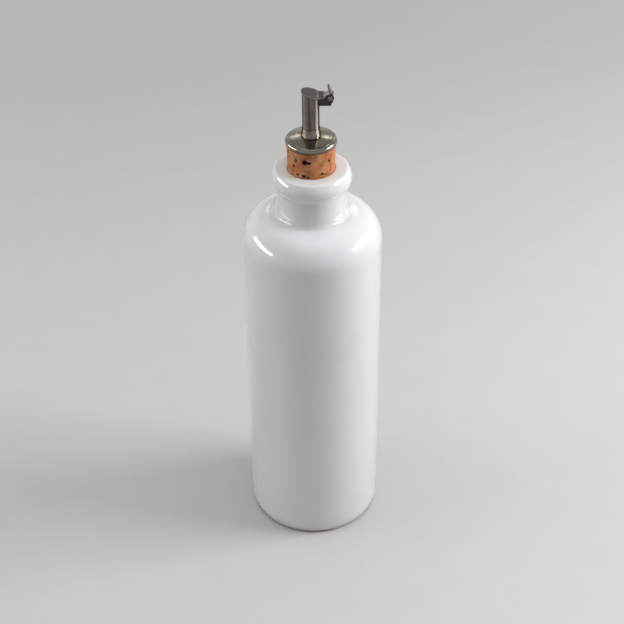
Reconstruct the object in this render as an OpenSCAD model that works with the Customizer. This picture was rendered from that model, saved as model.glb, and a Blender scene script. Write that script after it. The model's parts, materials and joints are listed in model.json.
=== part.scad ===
// Stoneware dispenser bottle with a cork pourer and a hinged flap.
// Millimetres, +Z up. The origin is the middle of the foot, on the surface it stands on.
// The pourer's parts stack up from the mouth of the bottle; the flap hinges on the +X side.

/* [Bottle] */
// Outside diameter of the straight wall
bottle_d = 85; // [76:1:110]
// Height from the foot to the mouth
bottle_h = 261; // [180:1:320]
// Wall thickness of the straight part
wall = 4.6; // [3:0.1:7]
// Thickness of the bottom
base_t = 6; // [4:0.5:10]
// Diameter of the ring that the bottle stands on
foot_d = 80; // [70:1:84]
// Height at which the rounded foot runs into the wall
foot_rise = 9; // [6:0.5:14]
// Diameter of the shallow recess under the bottom
recess_d = 66; // [40:1:72]
// Depth of that recess
recess_t = 1.5; // [0.5:0.25:2.5]
// Rounding between the bottom and the wall inside
inner_round = 8; // [3:0.5:12]

/* [Shoulder and neck] */
// Radius of the rounded shoulder
shoulder_round = 18.5; // [12:0.5:22]
// Height from the top of the shoulder to the mouth
neck_len = 30.5; // [26:0.5:45]
// Outside diameter of the neck
neck_d = 42; // [38:0.5:46]
// Radius of the hollow where the neck meets the shoulder
neck_fillet = 3.2; // [1.5:0.1:5]
// Rounding of the inner corner below the neck bore
throat_round = 3; // [1.5:0.5:4]

/* [Lip] */
// Distance that the lip stands out past the neck at its widest
lip_proud = 3; // [2.5:0.1:6]
// Height of the lip from its underside to the mouth
lip_h = 11.1; // [9:0.1:15]
// Depth of the widest line below the mouth
lip_mid = 6.3; // [5:0.1:7.5]
// Radius of the lip's bulging side
lip_bulge = 9.4; // [9:0.1:12]
// Rounding of the lip's upper outer edge
lip_edge = 1.5; // [0.5:0.1:2.5]
// Rounding of the mouth's inner edge
mouth_edge = 0.8; // [0.4:0.1:2]

/* [Cork] */
// Diameter of the cork at its top
cork_top_d = 28.8; // [28:0.1:31]
// Diameter of the cork at its lower end
cork_end_d = 27; // [25:0.1:27.5]
// Length of the cork
cork_len = 36; // [30:0.5:42]
// Length of the cork that stands out of the mouth
cork_show = 16; // [12:0.1:18]
// Chamfer at the cork's lower end
cork_chamfer = 1.2; // [0.5:0.1:2]

/* [Pourer] */
// Diameter of the flange disc
flange_d = 30.6; // [29:0.2:36]
// Diameter of the disc's rolled edge
flange_bead = 3.8; // [2.6:0.1:4.4]
// Radius of the disc's dome
flange_dome = 56; // [35:1:90]
// Thickness of the disc's sheet
flange_sheet = 0.8; // [0.6:0.1:1.2]
// Outside diameter of the pour tube
tube_d = 9.9; // [9.4:0.1:11]
// Wall of the pour tube
tube_wall = 0.6; // [0.4:0.05:0.8]
// Height of the tube's end on its axis, above the top of the cork
tube_rise = 31.8; // [26:0.5:45]
// Diameter of the flared end below the washer
tube_flare_d = 12.4; // [12:0.2:15]
// Thickness of that flared end
tube_flare_t = 0.7; // [0.5:0.1:1.2]
// Diameter of the collar's flared foot
collar_d = 11.6; // [11.4:0.1:13]
// Height of the collar
collar_h = 5.2; // [3.5:0.1:8]
// Height of the narrow step under the collar's flare
collar_step = 0.7; // [0.4:0.1:1]
// Diameter of the retaining washer
washer_d = 18; // [15:0.5:23]
// Thickness of the retaining washer
washer_t = 0.8; // [0.5:0.1:1.5]
// Outside diameter of the air tube
air_d = 3; // [2.4:0.1:3.2]
// Wall of the air tube
air_wall = 0.35; // [0.25:0.05:0.5]
// Length of the air tube that hangs below the washer
air_drop = 11; // [4:0.5:20]
// Distance from the pour tube's end down to the top of the air tube
air_top = 6.5; // [5:0.5:12]

/* [Flap] */
// Slope of the tube's end and of the closed flap, down towards the hinge
flap_tilt = 15; // [10:1:20]
// Diameter of the flap's disc
flap_d = 11.5; // [11.2:0.1:13]
// Thickness of the flap's sheet
flap_t = 0.85; // [0.6:0.05:0.9]
// Distance from the tube's axis to the line where the tongue bends up from the disc
kink_reach = 5.4; // [5:0.1:6]
// Width of the tongue where it bends up
tongue_w = 8.4; // [7:0.2:9]
// Distance of the hinge pin from the tube's axis, measured along the flap
hinge_reach = 11; // [10.6:0.1:13]
// Height of the hinge pin above the flap's underside
hinge_rise = 1.5; // [1.2:0.1:2]
// Part of the turn around the pin that the rolled knuckle leaves open, in degrees
knuckle_open = 60; // [50:1:80]
// Place of the thumb tab's root around the knuckle, in degrees
tab_at = 67; // [55:1:80]
// Direction in which the thumb tab stands, in degrees
tab_dir = 127; // [110:1:135]
// Length of the thumb tab
tab_len = 5.6; // [4:0.2:9]
// Width of the thumb tab
tab_w = 6; // [5:0.2:7]

/* [Hinge] */
// Radius of the hinge pin
pin_r = 1.2; // [0.8:0.05:1.3]
// Radius of the pin's riveted heads
pin_head_r = 1.5; // [1.4:0.05:1.9]
// Thickness of the pin's heads
pin_head_t = 0.4; // [0.3:0.05:0.6]
// Radius of the bracket's ears around the pin
ear_r = 2.2; // [2.15:0.05:2.6]
// Thickness of the bracket's sheet
ear_t = 0.7; // [0.5:0.05:0.9]
// Clear width between the bracket's ears
ear_gap = 4.7; // [4:0.1:5.4]
// Distance from the pin down to the bracket's lower edge
bracket_drop = 4.7; // [4:0.1:7]
// Distance from the pin out to the ears' lower corner
ear_corner = 0.3; // [-0.5:0.1:0.8]

/* [Clearances] */
// Radial gap between the cork and the neck bore
seat_gap = 0.06; // [0.03:0.01:0.1]
// Radial gap between the pour tube and the parts pushed over it
push_gap = 0.03; // [0.01:0.01:0.06]
// Radial gap between the hinge pin and the flap's knuckle
pin_gap = 0.05; // [0.03:0.01:0.1]
// Gap between the bracket's ears and what moves or sits beside them
side_gap = 0.12; // [0.08:0.01:0.2]
// Gap between the closed flap and the end of the tube
flap_gap = 0.15; // [0.1:0.05:0.3]

/* [Hidden] */
$fn = 128;
// Overlap of cutting bodies past the faces that they open
cut = 1;

// Bottle
bottle_r = bottle_d / 2;
inner_r = bottle_r - wall;
foot_r = foot_d / 2;
// The foot's rounding is the arc that leaves the wall upright and meets the ground at foot_r
foot_inset = bottle_r - foot_r;
foot_arc = (foot_rise * foot_rise + foot_inset * foot_inset) / (2 * foot_inset);
shoulder_top = bottle_h - neck_len;
shoulder_z = shoulder_top - shoulder_round;
shoulder_x = bottle_r - shoulder_round;
neck_r = neck_d / 2;
// Centre of the hollow at the root of the neck, and the radius where it meets the shoulder
hollow_x = neck_r + neck_fillet;
hollow_past = max(0, hollow_x - shoulder_x);
hollow_z = shoulder_z + sqrt(pow(shoulder_round + neck_fillet, 2) - hollow_past * hollow_past);
hollow_foot = hollow_x - hollow_past * neck_fillet / (shoulder_round + neck_fillet);

// Lip: the upper edge is a small arc inside the bulge, level with the mouth at its top
lip_x = neck_r + lip_proud - lip_bulge;
lip_z = bottle_h - lip_mid;
lip_under = bottle_h - lip_h;
lip_under_x = lip_x + sqrt(lip_bulge * lip_bulge - pow(lip_h - lip_mid, 2));
edge_angle = asin((lip_mid - lip_edge) / (lip_bulge - lip_edge));
edge_x = lip_x + (lip_bulge - lip_edge) * cos(edge_angle);
edge_z = bottle_h - lip_edge;
// Depth of the slope that carries the lip out from the neck
lip_slope = lip_under_x - neck_r;

// Cork and neck bore share one taper
cork_z = bottle_h + cork_show;
cork_end_z = cork_z - cork_len;
cork_top_r = cork_top_d / 2;
cork_end_r = cork_end_d / 2;
function cork_r(z) = cork_end_r + (cork_top_r - cork_end_r) * (z - cork_end_z) / cork_len;
bore_end_r = cork_end_r + seat_gap;
bore_mouth_r = cork_r(bottle_h) + seat_gap;

// Pourer, from the cork upwards
tube_r = tube_d / 2;
tube_in_r = tube_r - tube_wall;
push_r = tube_r + push_gap;
bead_r = flange_bead / 2;
bead_x = flange_d / 2 - bead_r;
bead_z = cork_z + bead_r;
// Middle of the dome, placed so that its top runs smoothly into the rolled edge
dome_z = bead_z - sqrt(pow(flange_dome - bead_r, 2) - bead_x * bead_x);
function dome_top(r) = dome_z + sqrt(flange_dome * flange_dome - r * r);
collar_z = dome_top(push_r) + push_gap;
collar_r = collar_d / 2;
// Wall of the collar above its flare, and height of the flare's straight edge
collar_wall = 0.25;
collar_rim = 0.4;
collar_top_r = push_r + collar_wall;
collar_sweep = collar_h - collar_step - collar_rim;
collar_arc = (collar_sweep * collar_sweep + pow(collar_r - collar_top_r, 2))
             / (2 * (collar_r - collar_top_r));
washer_z = cork_end_z - washer_t;
tube_end_z = washer_z - tube_flare_t;

// Air tube, against the hinge side of the pour tube's bore
air_r = air_d / 2;
air_gap = 0.12;
air_x = tube_in_r - air_r - air_gap;
air_end_z = washer_z - air_drop;

// Flap: its own frame has the flap's underside as the XY plane and slopes with the tube's end
flap_z = cork_z + tube_rise;
air_top_z = flap_z - air_top;
flap_r = flap_d / 2;
pin_x = hinge_reach * cos(flap_tilt) + hinge_rise * sin(flap_tilt);
pin_z = flap_z - hinge_reach * sin(flap_tilt) + hinge_rise * cos(flap_tilt);
ear_out = ear_gap / 2 + ear_t;
tube_x = tube_r - pin_x;

// Tongue: its middle line runs from the kink to the top of the knuckle and touches it there
knuckle_w = ear_gap - 2 * side_gap;
knuckle_in_r = pin_r + pin_gap;
knuckle_mid_r = knuckle_in_r + flap_t / 2;
kink_dx = hinge_reach - kink_reach;
kink_dz = hinge_rise - flap_t / 2;
kink_to_pin = sqrt(kink_dx * kink_dx + kink_dz * kink_dz);
tongue_slope = atan2(kink_dz, kink_dx) + asin(knuckle_mid_r / kink_to_pin);
tongue_len = sqrt(kink_to_pin * kink_to_pin - knuckle_mid_r * knuckle_mid_r);
// Radius around the pin that the wide parts of the flap stay outside of
sweep_r = ear_r + 2 * side_gap;
tongue_shoulder = tongue_len - sqrt(sweep_r * sweep_r - knuckle_in_r * knuckle_in_r);
// The ears' upper edge runs along the closed tongue, this far from the pin's axis, and reaches
// the tube at this height above the pin
ear_slope = tongue_slope - flap_tilt;
ear_edge = knuckle_in_r - 2 * side_gap;
ear_root = (ear_edge + tube_x * sin(ear_slope)) / cos(ear_slope);
// Length of the thumb tab's narrow root, which passes between the ears
tab_turn = tab_dir - tab_at;
tab_clear = sweep_r + flap_t / 2;
tab_root = sqrt(tab_clear * tab_clear - pow(knuckle_mid_r * sin(tab_turn), 2))
           - knuckle_mid_r * cos(tab_turn);
// Radius of the thumb tab's upper corners
tab_round = 1.4;

// ---------- shapes ----------

// A sector of a flat ring, between two radii and two angles
module ring_sector(r_in, r_out, a0, a1) {
    reach = 2 * r_out;
    difference() {
        circle(r_out);
        circle(r_in);
        // everything from a1 on round to a0 is taken away
        polygon(concat([[0, 0]],
            [for (i = [0:6]) let (a = a1 + (a0 + 360 - a1) * i / 6) reach * [cos(a), sin(a)]]));
    }
}

// Stands a drawing made in X and Z up in the room, of width w and centred on Y
module upright(w) {
    translate([0, w / 2, 0]) rotate([90, 0, 0]) linear_extrude(w) children();
}

// Places what is drawn in the flap's own frame
module on_flap() {
    translate([0, 0, flap_z]) rotate([0, flap_tilt, 0]) children();
}

// ---------- bottle ----------

module foot_profile() {
    intersection() {
        translate([bottle_r - foot_arc, foot_rise]) circle(foot_arc);
        square([bottle_r, foot_rise]);
    }
    square([foot_r, foot_rise]);
}

module shoulder_profile() {
    translate([shoulder_x, shoulder_z]) circle(shoulder_round);
    translate([0, shoulder_z]) square([shoulder_x, shoulder_round]);
    // hollow at the root of the neck
    difference() {
        translate([neck_r - cut, shoulder_z])
            square([hollow_foot - neck_r + cut, hollow_z - shoulder_z]);
        translate([hollow_x, hollow_z]) circle(neck_fillet);
    }
}

module lip_profile() {
    side_z = lip_z + lip_bulge * sin(edge_angle);
    intersection() {
        translate([lip_x, lip_z]) circle(lip_bulge);
        translate([0, lip_under]) square([lip_x + lip_bulge, side_z - lip_under]);
    }
    translate([0, lip_under]) square([lip_x, side_z - lip_under]);
    translate([edge_x, edge_z]) circle(lip_edge);
    polygon([[0, side_z - lip_edge], [lip_x, side_z - lip_edge],
             [lip_x + lip_bulge * cos(edge_angle), side_z], [edge_x, edge_z],
             [edge_x, bottle_h], [0, bottle_h]]);
    // slope under the lip
    polygon([[0, lip_under - lip_slope], [neck_r, lip_under - lip_slope],
             [lip_under_x, lip_under], [0, lip_under]]);
}

module cavity_profile() {
    throat_z = shoulder_top - wall;
    difference() {
        translate([0, base_t]) square([inner_r, shoulder_z - base_t]);
        difference() {
            translate([inner_r - inner_round, base_t - cut]) square([inner_round + cut, inner_round + cut]);
            translate([inner_r - inner_round, base_t + inner_round]) circle(inner_round);
        }
    }
    intersection() {
        translate([shoulder_x, shoulder_z]) circle(shoulder_round - wall);
        translate([shoulder_x, shoulder_z - cut]) square(shoulder_round);
    }
    translate([0, shoulder_z - cut]) square([shoulder_x, throat_z - shoulder_z + cut]);
    // rounded corner between the cavity and the neck bore
    difference() {
        translate([0, throat_z - cut]) square([bore_end_r + throat_round, throat_round + cut]);
        translate([bore_end_r + throat_round, throat_z + throat_round]) circle(throat_round);
    }
}

module bore_profile() {
    translate([0, shoulder_top - wall])
        square([bore_end_r, cork_end_z - shoulder_top + wall]);
    // tapered seat of the cork
    polygon([[0, cork_end_z - cut], [bore_end_r, cork_end_z - cut], [bore_end_r, cork_end_z],
             [bore_mouth_r, bottle_h], [bore_mouth_r, bottle_h + cut], [0, bottle_h + cut]]);
    // rounded inner edge of the mouth
    difference() {
        translate([0, bottle_h - mouth_edge])
            square([bore_mouth_r + mouth_edge, mouth_edge + cut]);
        translate([bore_mouth_r + mouth_edge, bottle_h - mouth_edge]) circle(mouth_edge);
    }
}

module bottle() {
    color("whitesmoke") rotate_extrude() difference() {
        union() {
            foot_profile();
            translate([0, foot_rise]) square([bottle_r, shoulder_z - foot_rise]);
            shoulder_profile();
            translate([0, shoulder_top - cut]) square([neck_r, lip_under - shoulder_top]);
            lip_profile();
        }
        cavity_profile();
        bore_profile();
        polygon([[0, -cut], [recess_d / 2 + cut, -cut], [recess_d / 2, 0],
                 [recess_d / 2 - 2 * recess_t, recess_t], [0, recess_t]]);
    }
}

// ---------- stopper ----------

module cork() {
    color("peru") rotate_extrude()
        polygon([[push_r, cork_end_z], [cork_end_r - cork_chamfer, cork_end_z],
                 [cork_r(cork_end_z + cork_chamfer), cork_end_z + cork_chamfer],
                 [cork_top_r, cork_z], [push_r, cork_z]]);
}

module flange_disc() {
    color("silver") rotate_extrude() {
        translate([bead_x, bead_z]) circle(bead_r);
        difference() {
            translate([0, dome_z]) circle(flange_dome);
            translate([0, dome_z]) circle(flange_dome - flange_sheet);
            // only the cap between the tube's hole and the rolled edge stays
            translate([-2 * flange_dome, dome_z - 2 * flange_dome])
                square([2 * flange_dome + push_r, 4 * flange_dome]);
            translate([bead_x, dome_z - 2 * flange_dome]) square([2 * flange_dome, 4 * flange_dome]);
            translate([0, dome_z - 2 * flange_dome]) square(2 * flange_dome);
        }
    }
}

module pour_tube() {
    color("gray") difference() {
        rotate_extrude() {
            translate([tube_in_r, tube_end_z])
                square([tube_wall, flap_z + tube_r - tube_end_z]);
            translate([tube_in_r, tube_end_z])
                square([tube_flare_d / 2 - tube_in_r, tube_flare_t - push_gap]);
        }
        // sloping end
        on_flap() translate([-2 * tube_d, -2 * tube_d, -flap_gap]) cube(4 * tube_d);
    }
}

module tube_collar() {
    color("silver") rotate_extrude() difference() {
        union() {
            translate([push_r, collar_z])
                square([collar_top_r - push_r, collar_h]);
            translate([push_r, collar_z + collar_step])
                square([collar_r - push_r, collar_h - collar_step]);
        }
        translate([collar_top_r + collar_arc, collar_z + collar_h]) circle(collar_arc);
        translate([collar_top_r, collar_z + collar_h]) square(collar_arc);
    }
}

module air_tube() {
    color("darkgray") translate([air_x, 0, air_end_z]) difference() {
        cylinder(h = air_top_z - air_end_z, r = air_r);
        translate([0, 0, -cut]) cylinder(h = air_top_z - air_end_z + 2 * cut, r = air_r - air_wall);
    }
}

module retaining_washer() {
    color("silver") translate([0, 0, washer_z]) difference() {
        cylinder(h = washer_t - push_gap, r = washer_d / 2);
        translate([0, 0, -cut]) cylinder(h = washer_t + 2 * cut, r = push_r);
    }
}

// ---------- hinge and flap ----------

// One ear of the bracket, in X and Z: an arm from the tube with a round end about the pin
module ear_profile() {
    corner = [ear_corner, -bracket_drop];
    // the outer edge leaves the round end where a line from the lower corner touches it
    touch = atan2(corner[1], corner[0]) + acos(ear_r / norm(corner));
    run = sqrt(ear_r * ear_r - ear_edge * ear_edge);
    translate([pin_x, pin_z]) {
        circle(ear_r);
        polygon([corner, ear_r * [cos(touch), sin(touch)], [0, 0],
                 [-run * cos(ear_slope) - ear_edge * sin(ear_slope),
                  ear_edge * cos(ear_slope) - run * sin(ear_slope)],
                 [tube_x, ear_root], [tube_x, -bracket_drop]]);
    }
}

module hinge_bracket() {
    saddle_h = bracket_drop + ear_root;
    color("dimgray") difference() {
        union() {
            // saddle against the tube
            intersection() {
                translate([0, 0, pin_z - bracket_drop]) cylinder(h = saddle_h, r = push_r + ear_t);
                translate([0, -ear_out, pin_z - bracket_drop]) cube([tube_d, 2 * ear_out, saddle_h]);
            }
            for (side = [-1, 1])
                translate([0, side * (ear_out - ear_t / 2), 0]) upright(ear_t) ear_profile();
        }
        cylinder(h = flap_z + tube_d, r = push_r);
        translate([pin_x, 0, pin_z]) rotate([90, 0, 0])
            cylinder(h = 4 * ear_out, r = pin_r + push_gap, center = true);
    }
}

module hinge_pin() {
    under = ear_out + push_gap;
    top = under + pin_head_t;
    bevel = pin_head_t / 2;
    color("silver") translate([pin_x, 0, pin_z]) rotate([90, 0, 0]) rotate_extrude()
        polygon([[0, -top], [pin_head_r - bevel, -top], [pin_head_r, bevel - top],
                 [pin_head_r, -under], [pin_r, -under], [pin_r, under], [pin_head_r, under],
                 [pin_head_r, top - bevel], [pin_head_r - bevel, top], [0, top]]);
}

// The disc, widened towards the line where the tongue bends up
module disc_outline() {
    side_y = flap_r * cos(30);
    circle(flap_r);
    polygon([[0, -side_y], [flap_r / 2, -side_y], [kink_reach, -tongue_w / 2],
             [kink_reach, tongue_w / 2], [flap_r / 2, side_y], [0, side_y]]);
}

// The tongue from its bend to the knuckle: tapered, then narrow enough to pass between the ears
module tongue_outline() {
    polygon([[0, -tongue_w / 2], [tongue_shoulder, -ear_out], [tongue_shoulder, ear_out],
             [0, tongue_w / 2]]);
    translate([0, -knuckle_w / 2]) square([tongue_len, knuckle_w]);
}

module tab_outline() {
    translate([0, -knuckle_w / 2]) square([tab_root + tab_round, knuckle_w]);
    translate([tab_root, -tab_w / 2]) square([tab_len - tab_root - tab_round, tab_w]);
    translate([tab_root, tab_round - tab_w / 2])
        square([tab_len - tab_root, tab_w - 2 * tab_round]);
    for (side = [-1, 1])
        translate([tab_len - tab_round, side * (tab_w / 2 - tab_round)]) circle(tab_round);
}

module flap_lid() {
    touch = tongue_slope + 90;
    color("gray") on_flap() {
        linear_extrude(flap_t) disc_outline();
        translate([kink_reach, 0, flap_t / 2]) {
            // round outside of the bend
            rotate([90, 0, 0]) cylinder(h = tongue_w, r = flap_t / 2, center = true);
            rotate([0, -tongue_slope, 0]) translate([0, 0, -flap_t / 2])
                linear_extrude(flap_t) tongue_outline();
        }
        translate([hinge_reach, 0, hinge_rise]) {
            upright(knuckle_w)
                ring_sector(knuckle_in_r, knuckle_in_r + flap_t, touch + knuckle_open, touch + 360);
            rotate([0, -tab_at, 0]) translate([knuckle_mid_r, 0, 0]) rotate([0, -tab_turn, 0])
                translate([0, 0, -flap_t / 2]) linear_extrude(flap_t) tab_outline();
        }
    }
}

bottle();
cork();
flange_disc();
pour_tube();
tube_collar();
air_tube();
retaining_washer();
hinge_bracket();
hinge_pin();
flap_lid();
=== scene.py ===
"""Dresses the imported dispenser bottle: glazed stoneware, natural cork and a polished steel pourer.

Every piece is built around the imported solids, in metres, with +Z up.
"""
import json
import math

import bmesh
import bpy
from bpy.props import FloatProperty, FloatVectorProperty, IntProperty, PointerProperty
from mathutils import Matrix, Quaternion, Vector


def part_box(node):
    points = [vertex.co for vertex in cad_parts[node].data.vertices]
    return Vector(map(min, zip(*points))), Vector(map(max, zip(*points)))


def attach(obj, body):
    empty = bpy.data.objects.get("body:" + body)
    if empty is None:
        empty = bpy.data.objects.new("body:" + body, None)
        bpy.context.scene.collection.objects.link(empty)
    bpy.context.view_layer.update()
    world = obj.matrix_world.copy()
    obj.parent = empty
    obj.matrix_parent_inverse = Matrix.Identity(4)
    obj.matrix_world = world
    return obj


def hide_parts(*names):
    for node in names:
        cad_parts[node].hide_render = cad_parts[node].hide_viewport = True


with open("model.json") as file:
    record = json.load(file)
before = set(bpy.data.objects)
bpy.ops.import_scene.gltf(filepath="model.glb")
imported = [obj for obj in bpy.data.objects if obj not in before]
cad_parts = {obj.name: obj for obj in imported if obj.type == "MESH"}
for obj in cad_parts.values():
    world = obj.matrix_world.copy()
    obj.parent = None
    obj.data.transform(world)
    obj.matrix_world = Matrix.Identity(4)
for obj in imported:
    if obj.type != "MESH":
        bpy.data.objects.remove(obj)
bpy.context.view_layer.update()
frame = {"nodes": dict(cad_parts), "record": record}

bl_info = {
    "name": "Dispenser Bottle",
    "version": (1, 0, 0),
    "blender": (4, 5, 0),
    "location": "3D View > Sidebar > Dispenser",
    "description": "Builds a stoneware dispenser bottle with a cork and a steel pourer",
    "category": "Object",
}

# Points closer than this are one point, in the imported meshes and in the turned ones
MERGE = 2e-7
TURNED_MERGE = 1e-6
# Corners of a profile that turn by more than this are rounded, with this turn between points
CORNER_TURN = math.radians(25)
ROUND_STEP = math.radians(15)
# Share of an edge that the rounding of one of its corners may take
ROUND_SHARE = 0.45
# Packed faces that turn by less than this are joined, and edges that turn by more are rounded
FLAT_TURN = math.radians(0.5)
EDGE_TURN = math.radians(35)
# Longest edge of a profile where nothing shows
HIDDEN_STEP = 0.012

# Pits in the cork's side: direction from the axis in degrees, distance below the cork's top and
# radius in mm, and how many times wider than high
MARKED_PITS = (
    (-129, 5.2, 1.10, 0.9), (-133, 3.6, 0.70, 0.6), (-105, 5.2, 1.80, 1.0), (-97, 5.5, 1.10, 1.3),
    (-44, 6.1, 0.85, 1.0), (-137, 9.3, 0.95, 1.1), (-125, 14.2, 0.65, 1.6), (-108, 14.5, 0.95, 1.3),
    (-64, 13.4, 0.62, 2.4), (-54, 14.4, 0.50, 1.8), (-157, 2.2, 0.90, 1.0), (-97, 15.0, 0.55, 1.6),
    (8, 4.0, 0.90, 1.2), (17, 9.0, 1.10, 0.9), (31, 13.0, 0.70, 1.5), (52, 5.5, 1.30, 1.1),
    (80, 10.5, 0.90, 0.8), (101, 3.8, 0.80, 1.2), (124, 12.5, 1.00, 1.4), (150, 7.0, 1.20, 0.9),
    (177, 11.0, 0.80, 1.1), (-118, 20.5, 1.10, 1.2), (-84, 24.0, 0.90, 0.9), (-60, 29.5, 1.20, 1.3),
    (-30, 21.5, 1.00, 1.0), (-140, 28.0, 0.80, 1.5), (5, 27.0, 1.10, 1.0), (45, 22.0, 0.90, 1.4),
    (88, 28.5, 1.20, 0.9), (130, 23.0, 1.00, 1.2), (170, 30.0, 0.90, 1.0),
)

# Two windows behind the bottle and one overhead, which only polished surfaces show: azimuth
# from +X, elevation and half width in degrees, and share of the full brightness
WINDOWS = ((102, 29, 4.5, 1.0), (78, 31, 4.5, 1.2), (90, 86, 34, 0.28))
# Share of a window's half width within which it is at its full brightness
WINDOW_CORE = 0.4

# Lamps: name, setting of the power, place, height that it faces, width, height, and whether
# gloss shows it. The one overhead shows as the even ceiling, not as a square.
LAMPS = (
    ("left_panel", "left_power", (-1.05, -0.02, 0.50), 0.22, 0.88, 0.15, True),
    ("right_panel", "right_power", (1.00, 0.00, 0.64), 0.22, 0.58, 0.20, True),
    ("top_panel", "top_power", (0.0, 0.0, 1.9), 0.10, 1.8, 1.8, False),
)
# The floor's half width, the distances over which it turns into the wall, and the upward shares
# of a direction over which the wall turns into the ceiling
FLOOR_REACH = 6.0
FLOOR_FADE = (0.45, 1.5)
SKY_FADE = (0.05, 0.55)

# Scales of the patterns, in waves or cells per metre
FLOOR_CLOUDS = 40.0
BOTTLE_STRAY = 16.0
DISC_DENTS = 140.0
DISC_WAVES = 170.0
DRAWN_LINES = 850.0
GLAZE_EDGE = 55.0
GLAZE_POOLS = 22.0
GLAZE_SKIN = 260.0
PINHOLES = 140.0
CLAY_GRIT = 900.0
CLAY_EARTH = 500.0
CORK_PATCHES = 150.0
CORK_BANDS = 420.0
CORK_CELLS = 2600.0
CORK_FLECKS = 620.0
CORK_GRAIN = 900.0
CORK_FINE_GRAIN = 1500.0
# Depths of the relief that the materials show, in metres
SCRATCH_DEPTH = 0.000002
WAVE_DEPTH = 0.00016
SKIN_DEPTH = 0.000012
PINHOLE_DEPTH = 0.00004
CLAY_DEPTH = 0.00015
CORK_DEPTH = 0.00010
# How much rougher smudges and scratches are than the steel between them
SMUDGE_ROUGHNESS = 0.07
SCRATCH_ROUGHNESS = 0.08

# Inputs of the tree that turns a profile, which every tree built on it has as well
TURNED_INPUTS = (
    ("Profile", "Geometry", None), ("Segments", "Int", 128), ("Wander", "Float", 0.0),
    ("Wander Scale", "Float", 30.0), ("Seed", "Int", 1),
)


# ---------- settings ----------

def number(name, description, default, **limits):
    """A number setting."""
    return FloatProperty(name=name, description=description, default=default, **limits)


def length(name, description, default):
    """A distance setting in metres."""
    return number(name, description, default, min=0.0, precision=5, subtype="DISTANCE",
                  unit="LENGTH")


def power(name, description, default):
    """A lamp's power setting in watts."""
    return number(name, description, default, min=0.0, subtype="POWER")


def color(name, description, default):
    """A colour setting in linear red, green and blue."""
    return FloatVectorProperty(name=name, description=description, default=default, size=3,
                               min=0.0, max=1.0, subtype="COLOR")


class StagePG(bpy.types.PropertyGroup):
    """Camera, floor, sky and lamps."""
    view_distance: length("View distance", "From the camera to the point it looks at", 0.89937)
    view_height: length("View height", "Height of the point that the camera looks at", 0.15466)
    view_side: length("View side", "How far the camera stands to the left", 0.00047)
    view_elevation: number("View elevation", "Slope of the view downwards", math.radians(37),
                           subtype="ANGLE")
    view_roll: number("View roll", "Turn of the camera about its view", math.radians(-0.58),
                      subtype="ANGLE")
    lens: number("Lens", "Focal length in mm for a 36 mm wide picture", 82.44, min=10.0)
    floor_color: color("Floor", "Colour of the floor, as seen", (0.60, 0.60, 0.595))
    floor_light: color("Light off the floor", "Colour by which the floor lights the bottle",
                       (0.46, 0.46, 0.455))
    sky_low: color("Light at the horizon", "Light of the room near the floor", (0.30, 0.30, 0.30))
    sky_high: color("Light overhead", "Light of the room overhead", (0.093, 0.093, 0.089))
    wall_color: color("Wall", "Colour of the room near the floor, as seen", (0.62, 0.62, 0.615))
    ceiling_color: color("Ceiling", "Colour of the room overhead, as seen", (0.28, 0.28, 0.27))
    window_light: number("Windows", "Brightness of the windows that polished steel mirrors", 1.9,
                         min=0.0)
    left_power: power("Left lamp", "Power of the left panel", 4.1)
    right_power: power("Right lamp", "Power of the right panel", 10.3)
    top_power: power("Top lamp", "Power of the panel overhead", 19.8)


class BottlePG(bpy.types.PropertyGroup):
    """Stoneware and glaze."""
    segments: IntProperty(name="Segments", description="Faces around the bottle", default=224,
                          min=32, max=256)
    wander: length("Wander", "How far the thrown wall strays inwards", 0.00010)
    glaze_line: length("Glaze line", "Height above the ground where the glaze ends", 0.0016)
    glaze_waviness: length("Glaze waviness", "How far the glaze line rises and falls", 0.0008)
    glaze_thickness: length("Glaze thickness", "Step from the glaze to the bare clay", 0.00025)
    glaze_color: color("Glaze", "Colour of the glaze", (0.83, 0.83, 0.82))
    pooled_color: color("Pooled glaze", "Colour where the glaze is thick", (0.78, 0.80, 0.82))
    clay_color: color("Clay", "Colour of the bare fired clay", (0.56, 0.44, 0.32))
    grit_color: color("Grit", "Colour of the grit in the clay", (0.16, 0.10, 0.06))


class CorkPG(bpy.types.PropertyGroup):
    """Natural cork."""
    segments: IntProperty(name="Segments", description="Faces around the cork", default=360,
                          min=64, max=400)
    pit_density: number("Pit density", "Small pits per square metre", 16000.0, min=0.0)
    pit_size: length("Pit size", "Radius of the largest scattered pit", 0.0005)
    pit_depth: number("Pit depth", "Depth of a pit over its radius", 0.9, min=0.0, max=2.0)
    grain: length("Grain", "Depth of the grain between the cork's cells", 0.00007)
    seed: IntProperty(name="Seed", description="Which scatter of pits is used", default=4)
    light_color: color("Light cork", "Colour of the cleanest cork", (0.68, 0.315, 0.160))
    mid_color: color("Mid cork", "Colour of most of the cork", (0.47, 0.168, 0.070))
    # the pits' colour is partly the pores' own dark filling and partly painted shade in the hollows
    pit_color: color("Pits", "Colour inside the pits", (0.040, 0.015, 0.006))


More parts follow.
